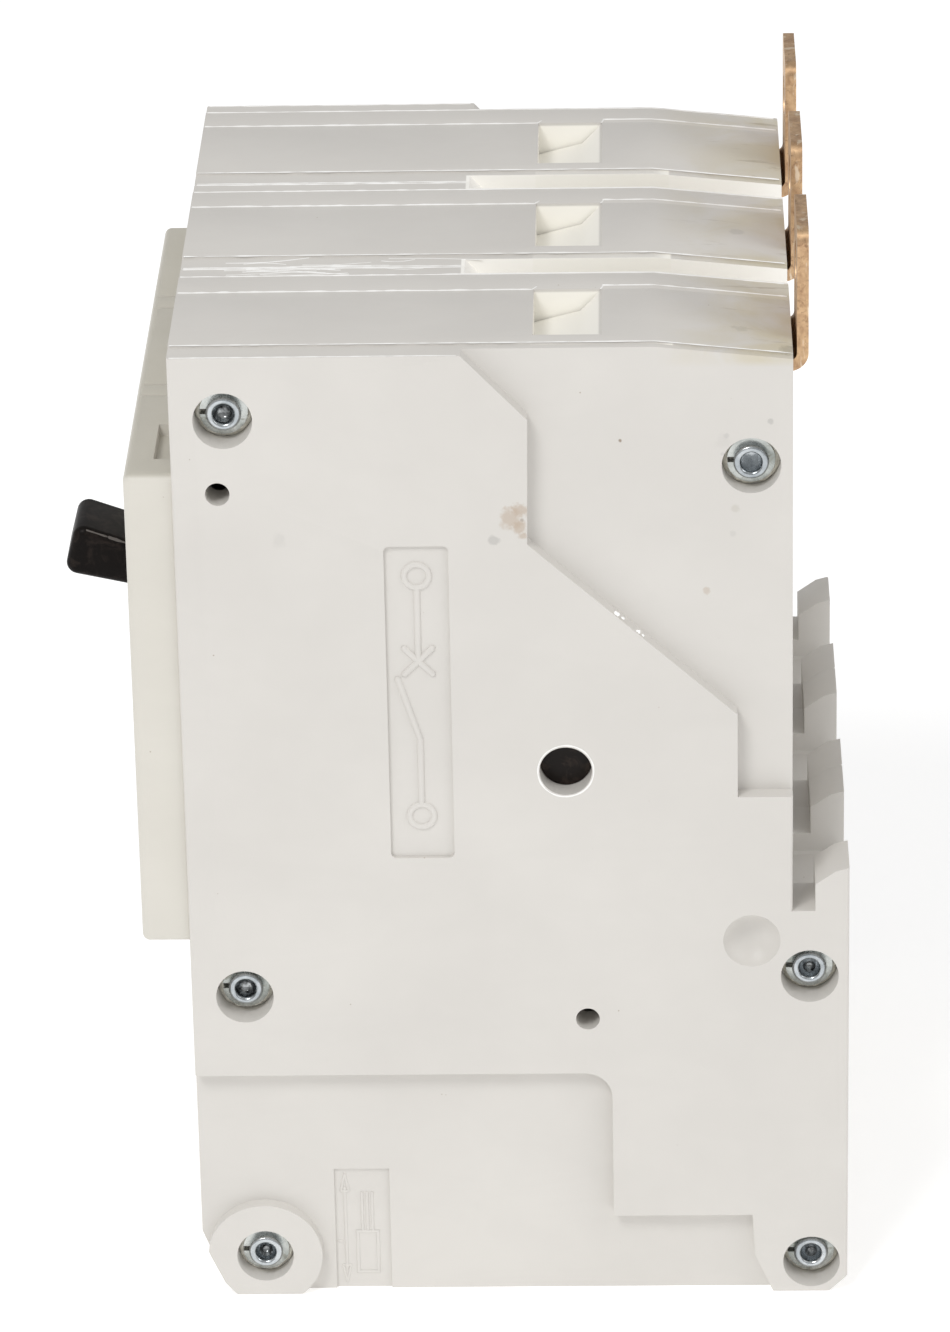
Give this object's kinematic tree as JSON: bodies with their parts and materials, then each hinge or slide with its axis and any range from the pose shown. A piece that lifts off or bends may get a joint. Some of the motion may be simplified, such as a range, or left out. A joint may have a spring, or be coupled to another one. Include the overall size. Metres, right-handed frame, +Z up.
{
  "type": "molded case circuit breaker",
  "caption": "Bolt-on panelboard molded case breaker: joined poles with a toggle handle, line tabs, rail hooks, wire lugs, trip button and working contacts.",
  "frame": {"origin": "centre of the bottom of the bounding box, at the load end", "axes": "+Z up towards the line end, -Y out of the front through the toggle, +X to the right seen from the front"},
  "size_m": [0.0762, 0.0844, 0.1207],
  "materials": {
    "case_plastic": "moulded off-white thermoset",
    "front_plastic": "moulded off-white thermoset, slightly warmer",
    "handle_plastic": "black moulded, satin",
    "rotor_plastic": "dark phenolic",
    "button_plastic": "red moulded",
    "strap_copper": "plated copper, dull",
    "bare_copper": "copper",
    "contact_silver": "silver alloy",
    "zinc_steel": "zinc plated",
    "plain_steel": "stamped steel",
    "spring_steel": "spring steel",
    "lug_aluminium": "extruded, tin plated"
  },
  "bodies": {
    "housing": {"right_cover": "case_plastic", "right_base": "case_plastic", "right_line_strap": "strap_copper", "right_arc_chute": "plain_steel", "right_bimetal": "plain_steel", "right_load_strap": "bare_copper", "right_magnet_yoke": "plain_steel", "right_braid": "bare_copper", "right_load_lug": "lug_aluminium", "center_cover": "case_plastic", "center_base": "case_plastic", "center_line_strap": "strap_copper", "center_arc_chute": "plain_steel", "center_bimetal": "plain_steel", "center_load_strap": "bare_copper", "center_magnet_yoke": "plain_steel", "center_braid": "bare_copper", "center_load_lug": "lug_aluminium", "left_cover": "case_plastic", "left_base": "case_plastic", "left_line_strap": "strap_copper", "left_arc_chute": "plain_steel", "left_bimetal": "plain_steel", "left_load_strap": "bare_copper", "left_magnet_yoke": "plain_steel", "left_braid": "bare_copper", "left_load_lug": "lug_aluminium", "fixed_contacts": "contact_silver", "handle_pin": "plain_steel", "mechanism_frame": "plain_steel", "cradle_pin": "plain_steel", "button_spring": "spring_steel", "front_cover": "front_plastic", "tie_rivets": "zinc_steel", "lock_washers": "zinc_steel"},
    "toggle": {"handle": "handle_plastic", "handle_arm": "plain_steel", "main_springs": "spring_steel"},
    "contact_rotor": {"contact_shaft": "rotor_plastic", "contact_hubs": "rotor_plastic", "moving_contacts": "contact_silver", "drive_pin": "plain_steel", "right_contact_arm": "bare_copper", "center_contact_arm": "bare_copper", "left_contact_arm": "bare_copper"},
    "cradle_lever": {"cradle": "plain_steel", "link_pin": "plain_steel"},
    "upper_link_pair": {"upper_links": "plain_steel", "knee_pin": "plain_steel"},
    "lower_link_pair": {"lower_links": "plain_steel"},
    "trip_shaft": {"trip_bar": "rotor_plastic"},
    "push_button": {"trip_button": "button_plastic"},
    "right_armature_plate": {"right_armature": "plain_steel"},
    "right_screw": {"right_wire_screw": "zinc_steel"},
    "center_armature_plate": {"center_armature": "plain_steel"},
    "center_screw": {"center_wire_screw": "zinc_steel"},
    "left_armature_plate": {"left_armature": "plain_steel"},
    "left_screw": {"left_wire_screw": "zinc_steel"}
  },
  "joints": [
    {"name": "handle_toggle", "type": "hinge", "parent": "housing", "child": "toggle", "pos_m": [0, -0.01535, 0.0678], "axis": [1, 0, 0], "range_deg": [0, 32]},
    {"name": "contact_swing", "type": "hinge", "parent": "housing", "child": "contact_rotor", "pos_m": [0, 0.01241, 0.06301], "axis": [1, 0, 0], "range_deg": [0, 32]},
    {"name": "cradle_trip", "type": "hinge", "parent": "housing", "child": "cradle_lever", "pos_m": [0, -0.00185, 0.0793], "axis": [1, 0, 0], "range_deg": [-15.05, 0]},
    {"name": "upper_link_swing", "type": "hinge", "parent": "cradle_lever", "child": "upper_link_pair", "pos_m": [0, -0.00585, 0.0738], "axis": [1, 0, 0], "range_deg": [0, 19.28]},
    {"name": "lower_link_swing", "type": "hinge", "parent": "contact_rotor", "child": "lower_link_pair", "pos_m": [0, 0.01065, 0.0713], "axis": [1, 0, 0], "range_deg": [-75.63, 0]},
    {"name": "trip_bar_turn", "type": "hinge", "parent": "housing", "child": "trip_shaft", "pos_m": [0, -0.00035, 0.0528], "axis": [1, 0, 0], "range_deg": [0, 15.05]},
    {"name": "trip_button_press", "type": "slide", "parent": "housing", "child": "push_button", "axis": [0, 1, 0], "range_m": [0, 0.00175], "stiffness_N_per_m": 400, "springref_m": -0.002},
    {"name": "right_armature_pull", "type": "hinge", "parent": "housing", "child": "right_armature_plate", "pos_m": [0.0254, -0.00665, 0.0273], "axis": [-1, 0, 0], "range_deg": [0, 4], "stiffness_Nm_per_rad": 0.005, "springref_deg": -2.86},
    {"name": "center_armature_pull", "type": "hinge", "parent": "housing", "child": "center_armature_plate", "pos_m": [0, -0.00665, 0.0273], "axis": [-1, 0, 0], "range_deg": [0, 4], "stiffness_Nm_per_rad": 0.005, "springref_deg": -2.86},
    {"name": "left_armature_pull", "type": "hinge", "parent": "housing", "child": "left_armature_plate", "pos_m": [-0.0254, -0.00665, 0.0273], "axis": [-1, 0, 0], "range_deg": [0, 4], "stiffness_Nm_per_rad": 0.005, "springref_deg": -2.86},
    {"name": "right_screw_drive", "type": "slide", "parent": "housing", "child": "right_screw", "axis": [0, 1, 0], "range_m": [0, 0.006]},
    {"name": "center_screw_drive", "type": "slide", "parent": "housing", "child": "center_screw", "axis": [0, 1, 0], "range_m": [0, 0.006]},
    {"name": "left_screw_drive", "type": "slide", "parent": "housing", "child": "left_screw", "axis": [0, 1, 0], "range_m": [0, 0.006]}
  ],
  "couplings": [
    {"joint": "contact_swing", "follows": "handle_toggle", "ratio": 1},
    {"joint": "upper_link_swing", "follows": "handle_toggle", "ratio": 0.60207},
    {"joint": "lower_link_swing", "follows": "handle_toggle", "ratio": -2.3632},
    {"joint": "trip_bar_turn", "follows": "trip_button_press", "rad_per_m": 149.6},
    {"joint": "cradle_trip", "follows": "trip_button_press", "rad_per_m": -149.6}
  ]
}
